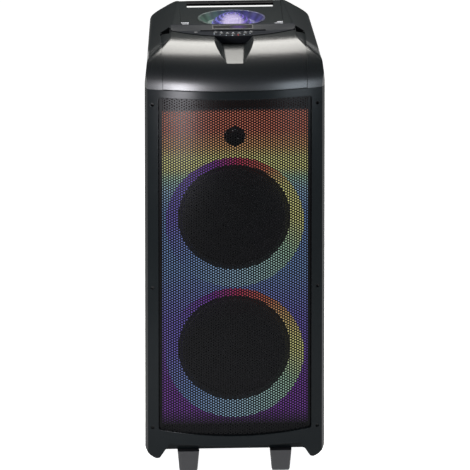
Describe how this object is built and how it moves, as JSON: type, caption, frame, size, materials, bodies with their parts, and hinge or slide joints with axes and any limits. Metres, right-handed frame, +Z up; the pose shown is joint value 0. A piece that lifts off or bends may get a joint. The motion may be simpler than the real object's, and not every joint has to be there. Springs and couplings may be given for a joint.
{
  "type": "party speaker",
  "caption": "Tall portable party speaker with two light-ringed woofers and a horn tweeter behind a curved lit grille, top light dome, control console, handle and rear wheels.",
  "frame": {"origin": "on the floor under the middle of the bounding box", "axes": "+Z up, -Y the front with the grille, +X to the right seen from the front"},
  "size_m": [0.3626, 0.332, 0.93],
  "materials": {
    "housing_black": "satin moulded",
    "cabinet_black": "fine textured",
    "baffle_board": "black painted board",
    "grille_steel": "satin powder coat",
    "opal_light": "opal, lit from behind",
    "led_strip": "lamps on a white strip",
    "horn_black": "gloss moulded",
    "soft_dome": "coated cloth",
    "basket_steel": "black paint",
    "cone_paper": "pressed paper pulp",
    "surround_rubber": "matt",
    "coil_copper": "enamelled wire",
    "spider_cloth": "resin treated cloth",
    "magnet_ferrite": "zinc plates on ferrite",
    "screw_steel": "black zinc",
    "socket_black": "moulded",
    "rocker_red": "gloss moulded",
    "board_green": "solder mask",
    "battery_black": "moulded case",
    "console_black": "satin moulded",
    "window_clear": "smoked gloss",
    "button_grey": "satin",
    "bowl_silver": "vacuum metallised",
    "dome_clear": "faceted clear plastic",
    "axle_steel": "bright",
    "tyre_rubber": "matt",
    "rim_grey": "satin",
    "pad_rubber": "matt"
  },
  "bodies": {
    "cabinet": {"front_frame": "housing_black", "grille": "grille_steel", "light_panel": "opal_light", "led_strips": "led_strip", "front_baffle": "baffle_board", "tweeter_horn": "horn_black", "tweeter_motor": "magnet_ferrite", "woofer_screws": "screw_steel", "frame_screws": "screw_steel", "cabinet_shell": "cabinet_black", "rear_panel": "cabinet_black", "rear_panel_screws": "screw_steel", "port_tube": "horn_black", "audio_jacks": "socket_black", "usb_socket": "socket_black", "power_inlet": "socket_black", "rocker_frame": "socket_black", "amp_board": "board_green", "battery_pack": "battery_black", "top_housing": "housing_black", "handle_grip": "housing_black", "control_panel": "console_black", "display_window": "window_clear", "control_board": "board_green", "dome_bowl": "bowl_silver", "dome_motor": "magnet_ferrite", "front_feet": "housing_black", "foot_pads": "pad_rubber", "wheel_axle": "axle_steel", "wheel_brackets": "housing_black", "lower_light_ring": "opal_light", "lower_basket": "basket_steel", "lower_surround": "surround_rubber", "lower_spider": "spider_cloth", "lower_magnet": "magnet_ferrite", "upper_light_ring": "opal_light", "upper_basket": "basket_steel", "upper_surround": "surround_rubber", "upper_spider": "spider_cloth", "upper_magnet": "magnet_ferrite"},
    "upper_cone": {"upper_cone": "cone_paper", "upper_voice_coil": "coil_copper"},
    "lower_cone": {"lower_cone": "cone_paper", "lower_voice_coil": "coil_copper"},
    "tweeter_dome": {"tweeter_dome": "soft_dome"},
    "left_wheel": {"left_tyre": "tyre_rubber", "left_rim": "rim_grey"},
    "right_wheel": {"right_tyre": "tyre_rubber", "right_rim": "rim_grey"},
    "dome": {"dome_lens": "dome_clear", "dome_spindle": "axle_steel"},
    "power_rocker": {"power_rocker": "rocker_red"},
    "power_button": {"power_button": "button_grey"},
    "source_button": {"source_button": "button_grey"},
    "previous_button": {"previous_button": "button_grey"},
    "play_button": {"play_button": "button_grey"},
    "next_button": {"next_button": "button_grey"},
    "softer_button": {"softer_button": "button_grey"},
    "louder_button": {"louder_button": "button_grey"},
    "light_button": {"light_button": "button_grey"}
  },
  "joints": [
    {"name": "lower_cone_stroke", "type": "slide", "parent": "cabinet", "child": "lower_cone", "axis": [0, -1, 0], "range_m": [-0.005, 0.005], "stiffness_N_per_m": 4500, "deforming": ["lower_surround", "lower_spider"]},
    {"name": "upper_cone_stroke", "type": "slide", "parent": "cabinet", "child": "upper_cone", "axis": [0, -1, 0], "range_m": [-0.005, 0.005], "stiffness_N_per_m": 4500, "deforming": ["upper_surround", "upper_spider"]},
    {"name": "tweeter_stroke", "type": "slide", "parent": "cabinet", "child": "tweeter_dome", "axis": [0, -1, 0], "range_m": [-0.00015, 0.00015], "stiffness_N_per_m": 2000},
    {"name": "left_wheel_spin", "type": "hinge", "parent": "cabinet", "child": "left_wheel", "pos_m": [-0.145, 0.124, 0.042], "axis": [1, 0, 0], "continuous": true},
    {"name": "right_wheel_spin", "type": "hinge", "parent": "cabinet", "child": "right_wheel", "pos_m": [0.145, 0.124, 0.042], "axis": [1, 0, 0], "continuous": true},
    {"name": "dome_spin", "type": "hinge", "parent": "cabinet", "child": "dome", "pos_m": [0, 0.034, 0.89], "axis": [0, 0, 1], "continuous": true},
    {"name": "power_rocker_tilt", "type": "hinge", "parent": "cabinet", "child": "power_rocker", "pos_m": [0, 0.137, 0.3], "axis": [0, 0, 1], "range_deg": [-16, 0]},
    {"name": "power_button_press", "type": "slide", "parent": "cabinet", "child": "power_button", "axis": [0, 0, -1], "range_m": [0, 0.0012], "stiffness_N_per_m": 300, "springref_m": -0.0004},
    {"name": "source_button_press", "type": "slide", "parent": "cabinet", "child": "source_button", "axis": [0, 0, -1], "range_m": [0, 0.0012], "stiffness_N_per_m": 300, "springref_m": -0.0004},
    {"name": "previous_button_press", "type": "slide", "parent": "cabinet", "child": "previous_button", "axis": [0, 0, -1], "range_m": [0, 0.0012], "stiffness_N_per_m": 300, "springref_m": -0.0004},
    {"name": "play_button_press", "type": "slide", "parent": "cabinet", "child": "play_button", "axis": [0, 0, -1], "range_m": [0, 0.0012], "stiffness_N_per_m": 300, "springref_m": -0.0004},
    {"name": "next_button_press", "type": "slide", "parent": "cabinet", "child": "next_button", "axis": [0, 0, -1], "range_m": [0, 0.0012], "stiffness_N_per_m": 300, "springref_m": -0.0004},
    {"name": "softer_button_press", "type": "slide", "parent": "cabinet", "child": "softer_button", "axis": [0, 0, -1], "range_m": [0, 0.0012], "stiffness_N_per_m": 300, "springref_m": -0.0004},
    {"name": "louder_button_press", "type": "slide", "parent": "cabinet", "child": "louder_button", "axis": [0, 0, -1], "range_m": [0, 0.0012], "stiffness_N_per_m": 300, "springref_m": -0.0004},
    {"name": "light_button_press", "type": "slide", "parent": "cabinet", "child": "light_button", "axis": [0, 0, -1], "range_m": [0, 0.0012], "stiffness_N_per_m": 300, "springref_m": -0.0004}
  ]
}
